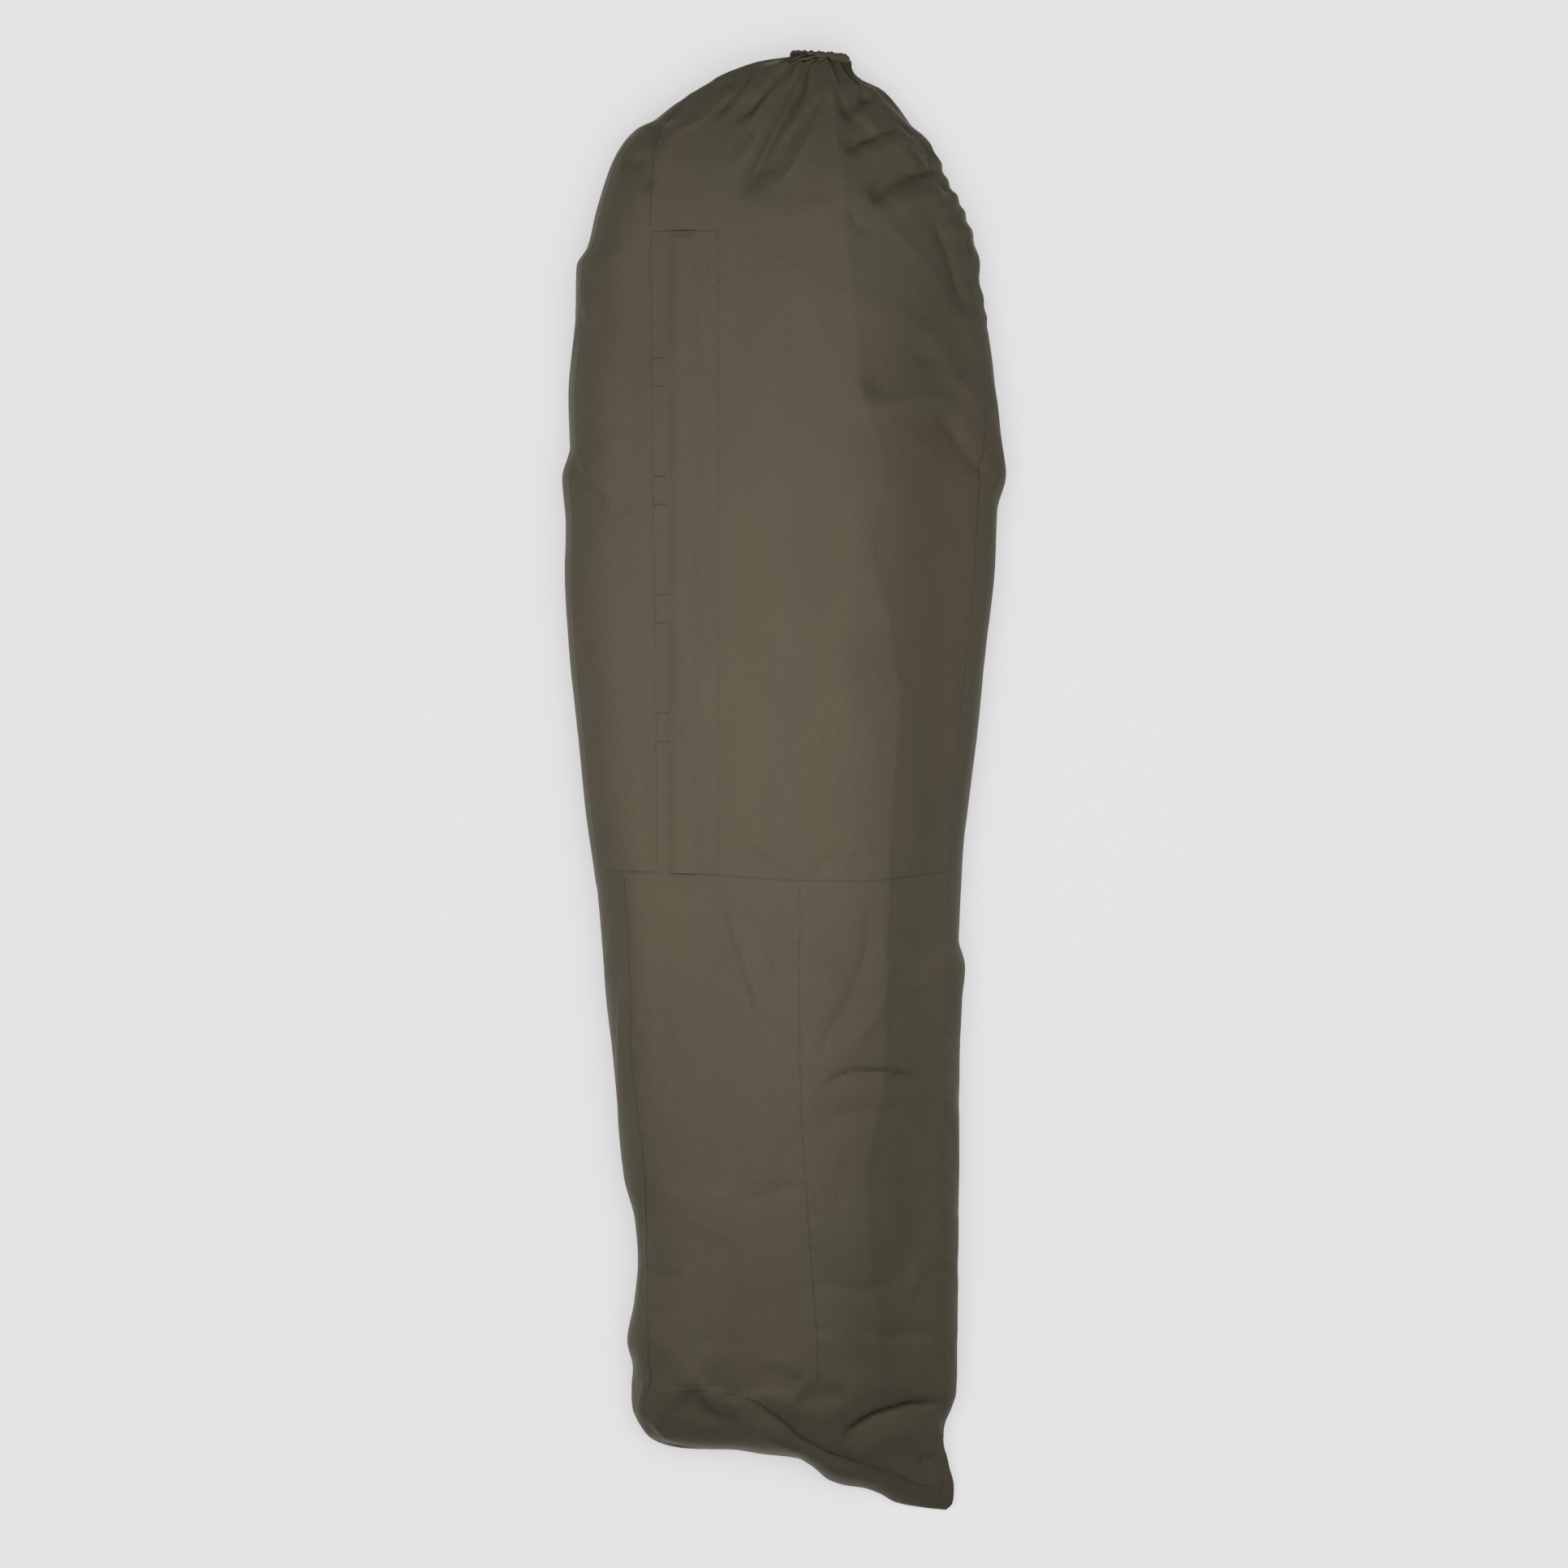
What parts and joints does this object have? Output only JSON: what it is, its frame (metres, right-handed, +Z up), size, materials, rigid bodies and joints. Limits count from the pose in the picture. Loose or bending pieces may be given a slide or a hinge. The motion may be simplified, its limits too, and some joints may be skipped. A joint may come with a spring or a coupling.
{
  "type": "bivy sack",
  "caption": "Hooded bivy sack lying filled, with a long zip under a hook-and-loop storm flap and a drawn-up hood mouth.",
  "frame": {"origin": "middle of the outline, on the ground under the sack", "axes": "+X across the sack, with the zip on the -X side; +Y from the foot to the hood; +Z up from the ground"},
  "size_m": [0.691, 2.3002, 0.23],
  "materials": {
    "shell_fabric": "matt olive-brown laminate, fine plain weave",
    "base_fabric": "darker coated nylon",
    "seam_tape": "satin heat-bonded tape",
    "zip_tape": "black woven polyester",
    "zip_coil": "black nylon coil",
    "slider_metal": "black lacquered zinc",
    "hook_fastener": "nylon hook",
    "loop_fastener": "nylon loop",
    "cord": "braided polyester",
    "lock_plastic": "moulded black plastic",
    "eyelet_metal": "dark plated",
    "spring_steel": "drawn wire"
  },
  "bodies": {
    "shell": {"base_panel": "base_fabric", "hood_underside": "base_fabric", "foot_panel": "shell_fabric", "lower_gusset_left": "shell_fabric", "lower_gusset_right": "shell_fabric", "upper_gusset_left": "shell_fabric", "upper_gusset_right": "shell_fabric", "lower_front_left": "shell_fabric", "lower_front_right": "shell_fabric", "upper_front_left": "shell_fabric", "upper_front_right": "shell_fabric", "hood_left": "shell_fabric", "hood_right": "shell_fabric", "hood_hem": "shell_fabric", "drawcord": "cord", "eyelets": "eyelet_metal", "cord_lock_barrel": "lock_plastic", "cord_lock_spring": "spring_steel", "zip_tape_left": "zip_tape", "zip_tape_right": "zip_tape", "zip_coil_left": "zip_coil", "zip_coil_right": "zip_coil", "zip_top_stop": "zip_coil", "zip_bottom_stop": "zip_coil", "flap_sewn_edge": "shell_fabric", "loop_pads": "loop_fastener", "cross_seam_tape": "seam_tape", "centre_seam_tape": "seam_tape", "left_seam_tape": "seam_tape", "right_seam_tape": "seam_tape", "hood_seam_tape": "seam_tape"},
    "flap": {"storm_flap": "shell_fabric", "hook_pads": "hook_fastener"},
    "slider": {"zip_slider": "slider_metal"},
    "outer_pull": {"outer_pull": "slider_metal"},
    "inner_pull": {"inner_pull": "slider_metal"},
    "lock_button": {"cord_lock_button": "lock_plastic"}
  },
  "joints": [
    {"name": "flap_lift", "type": "hinge", "parent": "shell", "child": "flap", "pos_m": [-0.122, 0, 0.22378], "axis": [0, 1, 0], "range_deg": [0, 150]},
    {"name": "zip_slide", "type": "slide", "parent": "shell", "child": "slider", "axis": [0, -1, 0], "range_m": [0, 0.958]},
    {"name": "outer_pull_swing", "type": "hinge", "parent": "slider", "child": "outer_pull", "pos_m": [-0.15038, 0.8385, 0.22121], "axis": [-0.9909, 0, -0.1348], "range_deg": [0, 5]},
    {"name": "inner_pull_swing", "type": "hinge", "parent": "slider", "child": "inner_pull", "pos_m": [-0.14895, 0.8385, 0.21071], "axis": [0.9909, 0, 0.1348], "range_deg": [-80, 80]},
    {"name": "lock_press", "type": "slide", "parent": "shell", "child": "lock_button", "axis": [0, -1, 0], "range_m": [0, 0.003], "stiffness_N_per_m": 500, "springref_m": -0.003, "deforming": ["cord_lock_spring"]}
  ]
}
